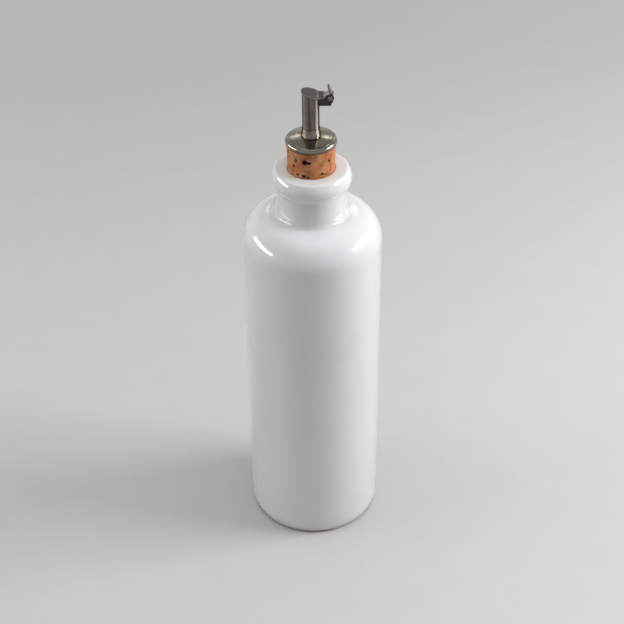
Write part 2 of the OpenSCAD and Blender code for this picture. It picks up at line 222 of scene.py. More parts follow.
class PourerPG(bpy.types.PropertyGroup):
    """Steel parts of the pourer."""
    segments: IntProperty(name="Segments", description="Faces around the turned parts",
                          default=128, min=32, max=256)
    edge: length("Edge rounding", "Rounding of the sheet's edges", 0.00009)
    dents: length("Dents", "Depth of the shallow dents in the disc", 0.00016)
    # painted reflection: the disc's steel is darkened and warmed in colour to stand for the warm,
    # dark room it mirrors
    warm_reflection_steel_color: color("Polished steel", "Colour of the disc", (0.435, 0.395, 0.325))
    # painted reflection: the tube's steel is darkened and tinted pink to stand for the dark floor it
    # mirrors
    dark_reflection_tube_color: color("Tube steel", "Colour of the tube and its collar", (0.265, 0.230, 0.206))
    inner_color: color("Drawn steel", "Colour of the steel inside", (0.42, 0.42, 0.41))
    # painted shade: the bracket's steel is nearly black, standing for the shade under the flap and
    # the dark floor it mirrors
    shaded_hinge_color: color("Hinge steel", "Colour of the bracket", (0.065, 0.060, 0.055))
    flap_color: color("Flap steel", "Colour of the flap and the pin", (0.23, 0.215, 0.20))


# ---------- node helpers ----------

def add(tree, kind, inputs=None, **settings):
    """Adds a node; inputs maps a socket's name or number to a value or to an output socket."""
    made = tree.nodes.new(kind)
    for key, value in settings.items():
        setattr(made, key, value)
    for key, value in (inputs or {}).items():
        if isinstance(value, bpy.types.NodeSocket):
            tree.links.new(value, made.inputs[key])
        else:
            made.inputs[key].default_value = value
    return made


def math_node(tree, operation, *values):
    """Output of a Math node."""
    return add(tree, "ShaderNodeMath", dict(enumerate(values)), operation=operation).outputs[0]


def product(tree, first, *others):
    """The values multiplied one after the other."""
    for other in others:
        first = math_node(tree, "MULTIPLY", first, other)
    return first


def vector_node(tree, operation, *values):
    """Vector output of a Vector Math node."""
    return add(tree, "ShaderNodeVectorMath", dict(enumerate(values)),
               operation=operation).outputs["Vector"]


def vector_length(tree, vector):
    """Length of a vector."""
    return add(tree, "ShaderNodeVectorMath", {0: vector}, operation="LENGTH").outputs["Value"]


def height_of(tree, vector):
    """Z of a vector."""
    return add(tree, "ShaderNodeSeparateXYZ", {0: vector}).outputs["Z"]


def flattened(tree, vector):
    """A vector with its Z left out."""
    return vector_node(tree, "MULTIPLY", vector, (1.0, 1.0, 0.0))


def scaled(tree, vector, factor):
    """A vector times a number."""
    return add(tree, "ShaderNodeVectorMath", {0: vector, "Scale": factor},
               operation="SCALE").outputs["Vector"]


def fade(tree, value, from_min, from_max, to_min=0.0, to_max=1.0):
    """A smooth step between two values."""
    return add(tree, "ShaderNodeMapRange",
               {"Value": value, "From Min": from_min, "From Max": from_max,
                "To Min": to_min, "To Max": to_max}, interpolation_type="SMOOTHSTEP").outputs[0]


def noise(tree, vector, scale, detail=2.0, roughness=0.5):
    """A noise value between 0 and 1."""
    return add(tree, "ShaderNodeTexNoise",
               {"Vector": vector, "Scale": scale, "Detail": detail,
                "Roughness": roughness}).outputs[0]


def mix(tree, factor, a, b):
    """Mixes two colours."""
    a, b = (c if isinstance(c, bpy.types.NodeSocket) else (*c, 1.0) for c in (a, b))
    return add(tree, "ShaderNodeMix", {0: factor, 6: a, 7: b}, data_type="RGBA").outputs[2]


def toned(base, factor):
    """A colour times a number."""
    return tuple(c * factor for c in base)


def floats(*names):
    """Number sockets among a tree's inputs."""
    return tuple((name, "Float", 0.0) for name in names)


def new_tree(name, kind, inputs, outputs):
    """A node tree with its group sockets; returns it with its input and output nodes."""
    tree = bpy.data.node_groups.new(name, kind)
    for socket, holds, default in inputs:
        made = tree.interface.new_socket(socket, in_out="INPUT", socket_type="NodeSocket" + holds)
        if default is not None:
            made.default_value = default
    for socket, holds in outputs:
        tree.interface.new_socket(socket, in_out="OUTPUT", socket_type="NodeSocket" + holds)
    return tree, tree.nodes.new("NodeGroupInput").outputs, tree.nodes.new("NodeGroupOutput")


# ---------- meshes ----------

def placed(name, data):
    """A new object in the scene."""
    obj = bpy.data.objects.new(name, data)
    bpy.context.scene.collection.objects.link(obj)
    return obj


def half_section(node):
    """Outline of a turned node in the half-plane y = 0, x > 0, as (radius, height) points.

    Returns the points, running up the outside, and whether they form a closed loop.
    """
    bm = bmesh.new()
    bm.from_mesh(frame["nodes"][node].data)
    bmesh.ops.remove_doubles(bm, verts=bm.verts, dist=MERGE)
    seam = {v for v in bm.verts if abs(v.co.y) < MERGE and v.co.x > -MERGE}
    links = {v: [e.other_vert(v) for e in v.link_edges if e.other_vert(v) in seam] for v in seam}
    first = min(seam, key=lambda v: (len(links[v]), v.co.z, v.co.x))
    closed = len(links[first]) == 2
    # an open outline starts on the axis, a closed one runs outwards from its lowest inner point
    walk = [first, max(links[first], key=lambda v: v.co.x)]
    while True:
        onward = [v for v in links[walk[-1]] if v is not walk[-2]]
        if not onward or onward[0] is first:
            break
        walk.append(onward[0])
    points = [Vector((v.co.x, v.co.z)) for v in walk]
    bm.free()
    if not closed:
        # flat faces on the axis have no edge along the section, so the outline is led there
        points = [Vector((0.0, points[0].y)), *points, Vector((0.0, points[-1].y))]
    area = sum(a.cross(b) for a, b in zip(points, points[1:] + points[:1]))
    if area < 0:
        points.reverse()
    return points, closed


def rounded(points, closed, radius):
    """Replaces the sharp corners of a profile by small arcs."""
    made = []
    count = len(points)
    for i, here in enumerate(points):
        before, after = points[i - 1], points[(i + 1) % count]
        inward, outward = here - before, after - here
        turn = inward.angle_signed(outward, 0.0) if inward.length and outward.length else 0.0
        at_end = not closed and i in (0, count - 1)
        if at_end or abs(turn) < CORNER_TURN:
            made.append(here)
            continue
        half = abs(turn) / 2
        cut = min(radius * math.tan(half), ROUND_SHARE * inward.length,
                  ROUND_SHARE * outward.length)
        start, end = here - inward.normalized() * cut, here + outward.normalized() * cut
        steps = max(2, math.ceil(abs(turn) / ROUND_STEP))
        for k in range(steps + 1):
            t = k / steps
            # a quadratic curve through the cut corner, close to an arc
            made.append(start * (1 - t) ** 2 + here * 2 * t * (1 - t) + end * t ** 2)
    return made


def divided(points, closed, step_at):
    """Divides a profile's long edges; step_at gives the longest edge wanted at a point."""
    made = []
    pairs = list(zip(points, points[1:] + points[:1] if closed else points[1:]))
    for a, b in pairs:
        steps = max(1, math.ceil((b - a).length / step_at((a + b) / 2)))
        made += [a.lerp(b, k / steps) for k in range(steps)]
    made.append(pairs[-1][1])
    return made


def profile_object(name, points, outer=None):
    """A line of points that a turning tree revolves; outer marks the points that may stray."""
    mesh = bpy.data.meshes.new(name)
    edges = [(i, i + 1) for i in range(len(points) - 1)]
    mesh.from_pydata([(p.x, 0.0, p.y) for p in points], edges, [])
    marks = mesh.attributes.new("outer", "FLOAT", "POINT")
    marks.data.foreach_set("value", [1.0 if outer is None or outer(p) else 0.0 for p in points])
    return placed(name, mesh)


def grown(obj, tree, values):
    """Runs a Geometry Nodes tree on an object and keeps the result as its plain mesh."""
    modifier = obj.modifiers.new(tree.name, "NODES")
    modifier.node_group = tree
    for item in tree.interface.items_tree:
        if item.in_out == "INPUT" and item.name in values:
            modifier[item.identifier] = values[item.name]
    return settled(obj)


def settled(obj):
    """Replaces an object's mesh by what its modifiers make of it."""
    depsgraph = bpy.context.evaluated_depsgraph_get()
    mesh = bpy.data.meshes.new_from_object(obj.evaluated_get(depsgraph), depsgraph=depsgraph,
                                           preserve_all_data_layers=True)
    obj.modifiers.clear()
    old, obj.data = obj.data, mesh
    bpy.data.meshes.remove(old)
    mesh.name = obj.name
    # a mesh made by a tree has an empty material slot before its own
    material = next(m for m in mesh.materials if m)
    mesh.materials.clear()
    mesh.materials.append(material)
    mesh.polygons.foreach_set("material_index", [0] * len(mesh.polygons))
    return obj


def eased_copy(node, name, width, material):
    """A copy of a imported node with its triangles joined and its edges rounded."""
    source = frame["nodes"][node].data
    mesh = bpy.data.meshes.new(name)
    mesh.from_pydata([v.co[:] for v in source.vertices], [],
                     [tuple(p.vertices) for p in source.polygons])
    bm = bmesh.new()
    bm.from_mesh(mesh)
    bmesh.ops.remove_doubles(bm, verts=bm.verts, dist=MERGE)
    bmesh.ops.dissolve_limit(bm, angle_limit=FLAT_TURN, verts=bm.verts, edges=bm.edges)
    bm.to_mesh(mesh)
    bm.free()
    mesh.shade_smooth()
    mesh.materials.append(material)
    obj = placed(name, mesh)
    bevel = obj.modifiers.new("Rounded edges", "BEVEL")
    bevel.width = width
    bevel.segments = 3
    bevel.limit_method = "ANGLE"
    bevel.angle_limit = EDGE_TURN
    bevel.harden_normals = True
    return settled(obj)


def stands_for(obj, node):
    """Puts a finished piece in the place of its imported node."""
    bodies = frame["record"]["behaviour"]["bodies"]
    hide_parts(node)
    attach(obj, next(body for body, nodes in bodies.items() if node in nodes))


# ---------- Geometry Nodes ----------

def stored(tree, geometry, name, value):
    """Geometry whose points keep a number by name."""
    return add(tree, "GeometryNodeStoreNamedAttribute",
               {"Geometry": geometry, "Name": name, "Value": value},
               data_type="FLOAT", domain="POINT").outputs[0]


def named(tree, name):
    """The number that points keep by name."""
    return add(tree, "GeometryNodeInputNamedAttribute", {"Name": name},
               data_type="FLOAT").outputs["Attribute"]


def sampled(tree, geometry, index, kind, value):
    """A value at one point of a geometry."""
    return add(tree, "GeometryNodeSampleIndex",
               {"Geometry": geometry, "Value": value, "Index": index},
               data_type=kind).outputs["Value"]


def moved_by(tree, geometry, offset):
    """Geometry whose points are moved."""
    return add(tree, "GeometryNodeSetPosition",
               {"Geometry": geometry, "Offset": offset}).outputs[0]


def turned_tree():
    """Turns a profile about the Z axis, with a wall that strays inwards a little."""
    tree, given, out = new_tree("Turned Profile", "GeometryNodeTree", TURNED_INPUTS,
                                (("Mesh", "Geometry"),))
    rows = add(tree, "GeometryNodeAttributeDomainSize", {"Geometry": given["Profile"]},
               component="MESH").outputs["Point Count"]
    grid = add(tree, "GeometryNodeMeshGrid",
               {"Size X": 1.0, "Size Y": 1.0, "Vertices Y": rows,
                "Vertices X": math_node(tree, "ADD", given["Segments"], 1.0)}).outputs["Mesh"]
    index = add(tree, "GeometryNodeInputIndex").outputs[0]
    column = math_node(tree, "FLOOR", math_node(tree, "DIVIDE", index, rows))
    row = math_node(tree, "MODULO", index, rows)
    angle = math_node(tree, "DIVIDE", product(tree, column, math.tau), given["Segments"])
    place = sampled(tree, given["Profile"], row, "FLOAT_VECTOR",
                    add(tree, "GeometryNodeInputPosition").outputs[0])
    outer = sampled(tree, given["Profile"], row, "FLOAT", named(tree, "outer"))

    def about_axis(vector):
        return add(tree, "ShaderNodeVectorRotate", {"Vector": vector, "Angle": angle},
                   rotation_type="Z_AXIS").outputs[0]

    turned = about_axis(place)
    stray = add(tree, "ShaderNodeTexNoise",
                {"Vector": turned, "Scale": given["Wander Scale"], "Detail": 1.0,
                 "W": given["Seed"]}, noise_dimensions="4D").outputs[0]
    inward = scaled(tree, about_axis((1.0, 0.0, 0.0)),
                    product(tree, stray, given["Wander"], outer))
    moved = vector_node(tree, "SUBTRACT", turned, inward)
    shaped = add(tree, "GeometryNodeSetPosition", {"Geometry": grid, "Position": moved})
    joined = add(tree, "GeometryNodeMergeByDistance",
                 {"Geometry": shaped.outputs[0], "Distance": TURNED_MERGE})
    smooth = add(tree, "GeometryNodeSetShadeSmooth", {"Geometry": joined.outputs[0]})
    tree.links.new(smooth.outputs[0], out.inputs["Mesh"])
    return tree


def finished_tree(name, extra_inputs, shape):
    """A tree that turns its profile, lets shape(tree, given, mesh) work on it and colours it."""
    tree, given, out = new_tree(
        name, "GeometryNodeTree",
        (*TURNED_INPUTS, ("Material", "Material", None), *extra_inputs), (("Mesh", "Geometry"),))
    body = add(tree, "GeometryNodeGroup", {key: given[key] for key, _, _ in TURNED_INPUTS},
               node_tree=shared("Turned Profile"))
    mesh = shape(tree, given, body.outputs["Mesh"])
    real = add(tree, "GeometryNodeRealizeInstances", {"Geometry": mesh}).outputs[0]
    done = add(tree, "GeometryNodeSetMaterial", {"Geometry": real, "Material": given["Material"]})
    tree.links.new(done.outputs[0], out.inputs["Mesh"])
    return tree


def glaze_shape(tree, given, mesh):
    """Lets the glaze end in a small wavy step above the bare foot ring."""
    position = add(tree, "GeometryNodeInputPosition").outputs[0]
    height = height_of(tree, position)
    flat = flattened(tree, position)
    wave = math_node(tree, "SUBTRACT", noise(tree, flat, GLAZE_EDGE, detail=1.0), 0.5)
    line = math_node(tree, "MULTIPLY_ADD", wave, given["Glaze Waviness"], given["Glaze Line"])
    # half the height over which the glaze thins out
    soft = 0.00022
    low = fade(tree, height, math_node(tree, "SUBTRACT", line, soft),
               math_node(tree, "ADD", line, soft), 1.0, 0.0)
    off_recess = math_node(tree, "GREATER_THAN", vector_length(tree, flat),
                           given["Recess Radius"])
    bare = product(tree, low, off_recess)
    # the ground face itself stays where it stands
    raised = math_node(tree, "GREATER_THAN", height, 1e-5)
    inward = product(tree, bare, raised, given["Glaze Thickness"], -1.0)
    outwards = vector_node(tree, "NORMALIZE", flat)
    return moved_by(tree, stored(tree, mesh, "bare_clay", bare), scaled(tree, outwards, inward))


def cork_shape(tree, given, mesh):
    """Sinks marked and scattered pits and a fine grain into the cork."""
    scattered = add(tree, "GeometryNodeDistributePointsOnFaces",
                    {"Mesh": mesh, "Density": given["Pit Density"], "Seed": given["Seed"]})
    chance = add(tree, "FunctionNodeRandomValue", {"Seed": given["Seed"]},
                 data_type="FLOAT").outputs[1]
    # most scattered pits are about a quarter of the largest in size
    share = math_node(tree, "MULTIPLY_ADD", math_node(tree, "POWER", chance, 3.0), 0.75, 0.25)
    sized = stored(tree, scattered.outputs["Points"], "pit_size",
                   product(tree, given["Pit Size"], share))
    spread = add(tree, "FunctionNodeRandomValue", {2: 0.8, 3: 2.4}, data_type="FLOAT").outputs[1]
    sized = stored(tree, sized, "pit_spread", spread)
    marked = add(tree, "GeometryNodeObjectInfo", {"Object": given["Marked Pits"]})
    marks = add(tree, "GeometryNodeMeshToPoints", {"Mesh": marked.outputs["Geometry"]})
    pits = tree.nodes.new("GeometryNodeJoinGeometry")
    tree.links.new(sized, pits.inputs[0])
    tree.links.new(marks.outputs[0], pits.inputs[0])
    position = add(tree, "GeometryNodeInputPosition").outputs[0]
    # a pit near a larger marked one may cut into it, which leaves ragged pits as in real cork
    nearest = add(tree, "GeometryNodeSampleNearest",
                  {"Geometry": pits.outputs[0], "Sample Position": position}).outputs[0]
    centre = sampled(tree, pits.outputs[0], nearest, "FLOAT_VECTOR", position)
    size = sampled(tree, pits.outputs[0], nearest, "FLOAT", named(tree, "pit_size"))
    wide = sampled(tree, pits.outputs[0], nearest, "FLOAT", named(tree, "pit_spread"))
    away = vector_node(tree, "SUBTRACT", position, centre)
    up = height_of(tree, away)
    across = math_node(tree, "DIVIDE", vector_length(tree, flattened(tree, away)), wide)
    reach = math_node(tree, "SQRT", math_node(tree, "ADD", math_node(tree, "POWER", across, 2.0),
                                              product(tree, up, up)))
    ragged = math_node(tree, "MULTIPLY_ADD", noise(tree, position, CORK_GRAIN), 0.9, 0.6)
    inside = math_node(tree, "DIVIDE", reach, product(tree, size, ragged))
    pit = fade(tree, inside, 0.68, 1.0, 1.0, 0.0)
    grain = product(tree, noise(tree, position, CORK_GRAIN, detail=3.0), given["Grain"])
    depth = math_node(tree, "MULTIPLY_ADD", product(tree, pit, size), given["Pit Depth"], grain)
    normal = add(tree, "GeometryNodeInputNormal").outputs[0]
    # the pits are stored before the surface moves, because they are found by its place
    return moved_by(tree, stored(tree, mesh, "pit", pit),
                    scaled(tree, normal, product(tree, depth, -1.0)))


def slope_shape(tree, given, mesh):
    """Shears the upper end of a tube into its slope."""
    position = add(tree, "GeometryNodeInputPosition").outputs[0]
    parts = add(tree, "ShaderNodeSeparateXYZ", {0: position})
    behind = math_node(tree, "SUBTRACT", vector_length(tree, flattened(tree, position)),
                       parts.outputs["X"])
    share = add(tree, "ShaderNodeMapRange",
                {"Value": parts.outputs["Z"], "From Min": given["Slope From"],
                 "From Max": given["Slope Full"]}).outputs[0]
    rise = product(tree, behind, given["Slope"], share)
    return moved_by(tree, mesh, add(tree, "ShaderNodeCombineXYZ", {"Z": rise}).outputs[0])


# ---------- shader groups ----------

def wear_group():
    """Handling marks on polished metal: scratches across two directions, and smudges."""
    tree, given, out = new_tree(
        "Handling Marks", "ShaderNodeTree",
        (("Vector", "Vector", None), ("Scratch Scale", "Float", 900.0),
         ("Smudge Scale", "Float", 120.0)),
        (("Scratches", "Float"), ("Smudges", "Float")))
    found = []
    # turn of the lines in radians, and how much their pattern is drawn out along them
    for turn, stretch in ((0.5, 0.05), (-0.9, 0.08)):
        lines = add(tree, "ShaderNodeVectorRotate",
                    {"Vector": given["Vector"], "Angle": turn, "Axis": (0.5, 0.7, 0.5)})
        thin = vector_node(tree, "MULTIPLY", lines.outputs[0], (1.0, stretch, 1.0))
        found.append(fade(tree, noise(tree, thin, given["Scratch Scale"]), 0.60, 0.68))
    tree.links.new(math_node(tree, "MAXIMUM", *found), out.inputs["Scratches"])
    smudge = fade(tree, noise(tree, given["Vector"], given["Smudge Scale"], detail=4.0,
                              roughness=0.6), 0.35, 0.70)
    tree.links.new(smudge, out.inputs["Smudges"])
    return tree


def speckle_group():
    """Scattered specks, as in clay and cork."""
    tree, given, out = new_tree(
        "Specks", "ShaderNodeTree",
        (("Vector", "Vector", None), ("Scale", "Float", 300.0),
         ("Size", "Float", 0.2), ("Share", "Float", 0.5)),
        (("Mask", "Float"),))
    cells = add(tree, "ShaderNodeTexVoronoi",
                {"Vector": given["Vector"], "Scale": given["Scale"]})
    near = fade(tree, cells.outputs["Distance"], given["Size"], product(tree, given["Size"], 0.6))
    chosen = math_node(tree, "LESS_THAN",
                       add(tree, "ShaderNodeSeparateColor",
                           {0: cells.outputs["Color"]}).outputs[0], given["Share"])
    tree.links.new(product(tree, near, chosen), out.inputs["Mask"])
    return tree


SHARED = {"Turned Profile": turned_tree, "Handling Marks": wear_group, "Specks": speckle_group}


def shared(name):
    """A tree or shader group that several pieces or materials use, built the first time."""
    return bpy.data.node_groups.get(name) or SHARED[name]()


# ---------- materials ----------

def new_material(name, **constants):
    """A material; returns it with its tree, its Principled shader and Object coordinates."""
    material = bpy.data.materials.new(name)
    material.use_nodes = True
    tree = material.node_tree
    shader = tree.nodes["Principled BSDF"]
    for key, value in constants.items():
        shader.inputs[key.replace("_", " ")].default_value = value
    place = add(tree, "ShaderNodeTexCoord").outputs["Object"]
    return material, tree, shader, place


def feed(tree, shader, **sockets):
    """Links outputs to the shader's sockets."""
    for key, value in sockets.items():
        tree.links.new(value, shader.inputs[key.replace("_", " ")])


def bumped(tree, height, distance, strength=1.0, normal=None):
    """Normal of a surface raised by height times distance."""
    inputs = {"Height": height, "Distance": distance, "Strength": strength}
    if normal:
        inputs["Normal"] = normal
    return add(tree, "ShaderNodeBump", inputs).outputs["Normal"]


def grouped(tree, name, **inputs):
    """Places a shader group."""
    sockets = {key.replace("_", " "): value for key, value in inputs.items()}
    return add(tree, "ShaderNodeGroup", sockets, node_tree=shared(name)).outputs


def seen_rays(tree):
    """1 for the rays by which a thing is seen, straight or mirrored, and 0 for its light."""
    path = add(tree, "ShaderNodeLightPath").outputs
    mirrored = math_node(tree, "MAXIMUM", path["Is Glossy Ray"], path["Is Transmission Ray"])
    return math_node(tree, "MAXIMUM", path["Is Camera Ray"], mirrored)


def steel(name, base, roughness=0.10, scratch_scale=900.0, brushed=0.0, streaks_and_shade=0.0, waves=0.0,
          painted_shade_heights=None):
    """Polished or drawn steel; its scratches are rougher, and its smudges rougher and darker.

    brushed spreads the lights along Z, as on a tube that was polished around its axis,
    streaks_and_shade darkens drawing lines along Z, placed partly to paint shade on the tube's
    front, waves is the depth in metres of the sheet's unevenness, and painted_shade_heights gives
    the heights below which the steel is painted darker as shade and above which it keeps its colour.
    """
    material, tree, shader, place = new_material(name, Metallic=1.0, Anisotropic=brushed)
    if brushed:
        # a quarter turn off the tangent, which runs around the tube
        shader.inputs["Anisotropic Rotation"].default_value = 0.25
        shader.inputs["Specular Tint"].default_value = (0.1, 0.1, 0.1, 1.0)
        feed(tree, shader, Tangent=add(tree, "ShaderNodeTangent", direction_type="RADIAL",
                                       axis="Z").outputs[0])
    marks = grouped(tree, "Handling Marks", Vector=place, Scratch_Scale=scratch_scale)
    tone = mix(tree, product(tree, marks["Smudges"], 0.8), base, toned(base, 0.86))
    rough = math_node(tree, "MULTIPLY_ADD", marks["Smudges"], SMUDGE_ROUGHNESS, roughness)
    rough = math_node(tree, "MULTIPLY_ADD", marks["Scratches"], SCRATCH_ROUGHNESS, rough)
    if streaks_and_shade:
        # drawing lines along Z, with the pattern shifted so the dark ones fall on the tube's left
        # and front: partly real streaks, partly painted shade
        drawn_out = vector_node(tree, "MULTIPLY_ADD", place, (1.0, 1.0, 0.03),
                                (0.004, 0.002, 0.0))
        lines = fade(tree, noise(tree, drawn_out, DRAWN_LINES), 0.47, 0.56, 0.0, streaks_and_shade)
        tone = mix(tree, lines, tone, toned(base, 0.35))
    # painted shade: below the given heights the steel's colour is darkened
    if painted_shade_heights:
        painted_shade = fade(tree, height_of(tree, place), *painted_shade_heights, 0.85, 0.0)
        tone = mix(tree, painted_shade, tone, toned(base, 0.25))
    normal = bumped(tree, marks["Scratches"], SCRATCH_DEPTH)
    if waves:
        normal = bumped(tree, noise(tree, place, DISC_WAVES, detail=1.0), waves, normal=normal)
    feed(tree, shader, Base_Color=tone, Roughness=rough, Normal=normal)
    return material


def glaze(settings):
    """White glaze over stoneware, with the bare clay below the glaze line."""
    material, tree, shader, place = new_material(
        "white_glaze", IOR=1.5, Coat_Roughness=0.03, Coat_IOR=1.5)
    bare = add(tree, "ShaderNodeAttribute", attribute_name="bare_clay").outputs["Fac"]
    pooled = fade(tree, noise(tree, place, GLAZE_POOLS, detail=3.0), 0.40, 0.75)
    white = mix(tree, pooled, settings.glaze_color, settings.pooled_color)
    pinholes = grouped(tree, "Specks", Vector=place, Scale=PINHOLES, Size=0.035,
                       Share=0.16)["Mask"]
    white = mix(tree, product(tree, pinholes, 0.30), white, settings.clay_color)
    grit = grouped(tree, "Specks", Vector=place, Scale=CLAY_GRIT, Size=0.35,
                   Share=0.3)["Mask"]
    earth = noise(tree, place, CLAY_EARTH, detail=4.0, roughness=0.7)
    clay = mix(tree, earth, toned(settings.clay_color, 0.75), settings.clay_color)
    clay = mix(tree, product(tree, grit, 0.6), clay, settings.grit_color)
    smooth = bumped(tree, noise(tree, place, GLAZE_SKIN, detail=1.0), SKIN_DEPTH)
    smooth = bumped(tree, pinholes, PINHOLE_DEPTH, normal=smooth)
    height = product(tree, earth, bare)
    feed(tree, shader, Base_Color=mix(tree, bare, white, clay),
         Roughness=fade(tree, bare, 0.0, 1.0, 0.17, 0.92),
         Coat_Weight=math_node(tree, "SUBTRACT", 1.0, bare),
         Normal=bumped(tree, height, CLAY_DEPTH, normal=smooth))
    return material


def cork_material(settings):
    """Natural cork: soft colour patches, fine cells, dark pits."""
    material, tree, shader, place = new_material("natural_cork", Specular_IOR_Level=0.08)
    pit = add(tree, "ShaderNodeAttribute", attribute_name="pit").outputs["Fac"]
    patch = fade(tree, noise(tree, place, CORK_PATCHES, detail=4.0, roughness=0.6), 0.34, 0.66)
    tone = mix(tree, patch, settings.light_color, settings.mid_color)
    # growth rings run along the stopper as faint upright bands
    bands = noise(tree, vector_node(tree, "MULTIPLY", place, (1.0, 1.0, 0.12)), CORK_BANDS,
                  detail=3.0)
    tone = mix(tree, fade(tree, bands, 0.52, 0.72, 0.0, 0.45), tone,
               toned(settings.mid_color, 0.62))
    cells = add(tree, "ShaderNodeTexVoronoi", {"Vector": place, "Scale": CORK_CELLS}).outputs[0]
    fleck = grouped(tree, "Specks", Vector=place, Scale=CORK_FLECKS, Size=0.3,
                    Share=0.16)["Mask"]
    tone = mix(tree, product(tree, fleck, 0.75), tone, settings.pit_color)
    # inside the sunk pits the colour goes nearly black: partly the pores' own filling, partly
    # painted shade in the hollows
    tone = mix(tree, math_node(tree, "POWER", pit, 0.6), tone, settings.pit_color)
    grain = math_node(tree, "ADD", product(tree, cells, 0.6),
                      noise(tree, place, CORK_FINE_GRAIN, detail=3.0, roughness=0.7))
    rough = fade(tree, patch, 0.0, 1.0, 0.72, 0.88)
    feed(tree, shader, Base_Color=tone, Roughness=rough,
         Normal=bumped(tree, grain, CORK_DEPTH, strength=0.8))
    return material


# ---------- operators ----------

class DISPENSER_OT_stage(bpy.types.Operator):
    """Add the camera, the floor, the sky and the lamps"""
    bl_idname = "dispenser.stage"
    bl_label = "Stage"

    def execute(self, context):
        scene = context.scene
        settings = scene.dispenser_stage
        scene.view_settings.view_transform = "Standard"
        scene.camera = self.camera(settings)
        self.floor(settings)
        scene.world = self.sky(settings)
        for name, power_setting, *shape in LAMPS:
            self.lamp(name, getattr(settings, power_setting), *shape)
        return {"FINISHED"}

    def camera(self, settings):
        """Looks down on the bottle from the front."""
        data = bpy.data.cameras.new("camera")
        data.lens = settings.lens
        data.sensor_width = 36.0
        data.clip_start = 0.01
        obj = placed("camera", data)
        target = Vector((-settings.view_side, 0.0, settings.view_height))
        slope = settings.view_elevation
        away = Vector((0.0, -math.cos(slope), math.sin(slope)))
        obj.location = target + away * settings.view_distance
        obj.rotation_mode = "QUATERNION"
        obj.rotation_quaternion = ((-away).to_track_quat("-Z", "Y")
                                   @ Quaternion((0.0, 0.0, 1.0), settings.view_roll))
        return obj

    def floor(self, settings):
        """A plain pale floor, which turns into the pale wall far from the bottle."""
        mesh = bpy.data.meshes.new("floor")
        corners = [(x * FLOOR_REACH, y * FLOOR_REACH, 0)
                   for x, y in ((-1, -1), (1, -1), (1, 1), (-1, 1))]
        mesh.from_pydata(corners, [], [(0, 1, 2, 3)])
        material, tree, shader, place = new_material("pale_floor", Specular_IOR_Level=0.2)
        clouds = fade(tree, noise(tree, place, FLOOR_CLOUDS, detail=3.0), 0.3, 0.7)
        seen = seen_rays(tree)
        tone = mix(tree, clouds, settings.floor_color, toned(settings.floor_color, 0.985))
        feed(tree, shader, Base_Color=mix(tree, seen, settings.floor_light, tone),
             Roughness=fade(tree, clouds, 0.0, 1.0, 0.62, 0.68))
        wall = add(tree, "ShaderNodeEmission", {"Color": (*settings.wall_color, 1.0)})
        far = product(tree, fade(tree, vector_length(tree, place), *FLOOR_FADE), seen)
        blend = add(tree, "ShaderNodeMixShader",
                    {0: far, 1: shader.outputs[0], 2: wall.outputs[0]})
        tree.links.new(blend.outputs[0], tree.nodes["Material Output"].inputs["Surface"])
        mesh.materials.append(material)
        placed("floor", mesh)

    def sky(self, settings):
        """A pale room, dimmer overhead; it is seen paler than it lights."""
        world = bpy.data.worlds.new("studio")
        world.use_nodes = True
        tree = world.node_tree
        direction = add(tree, "ShaderNodeTexCoord").outputs["Generated"]
        upward = fade(tree, height_of(tree, direction), *SKY_FADE)
        lit = mix(tree, upward, settings.sky_low, settings.sky_high)
        seen = mix(tree, upward, settings.wall_color, settings.ceiling_color)
        mirrored = add(tree, "ShaderNodeLightPath").outputs["Is Glossy Ray"]
        for azimuth, elevation, reach, strength in WINDOWS:
            a, e = math.radians(azimuth), math.radians(elevation)
            middle = (math.cos(a) * math.cos(e), math.sin(a) * math.cos(e), math.sin(e))
            toward = add(tree, "ShaderNodeVectorMath", {0: direction, 1: middle},
                         operation="DOT_PRODUCT").outputs["Value"]
            near = fade(tree, toward, math.cos(math.radians(reach)),
                        math.cos(math.radians(WINDOW_CORE * reach)))
            seen = mix(tree, product(tree, near, mirrored), seen,
                       (strength * settings.window_light,) * 3)
        shown = mix(tree, seen_rays(tree), lit, seen)
        tree.links.new(shown, tree.nodes["Background"].inputs["Color"])
        return world

    def lamp(self, name, energy, place, target_height, width, height, in_gloss):
        """A soft panel that faces the bottle."""
        data = bpy.data.lights.new(name, "AREA")
        data.shape = "RECTANGLE"
        data.energy = energy
        data.size, data.size_y = width, height
        obj = placed(name, data)
        obj.location = place
        aim = Vector((0.0, 0.0, target_height)) - obj.location
        obj.rotation_mode = "QUATERNION"
        obj.rotation_quaternion = aim.to_track_quat("-Z", "Y")
        obj.visible_glossy = in_gloss


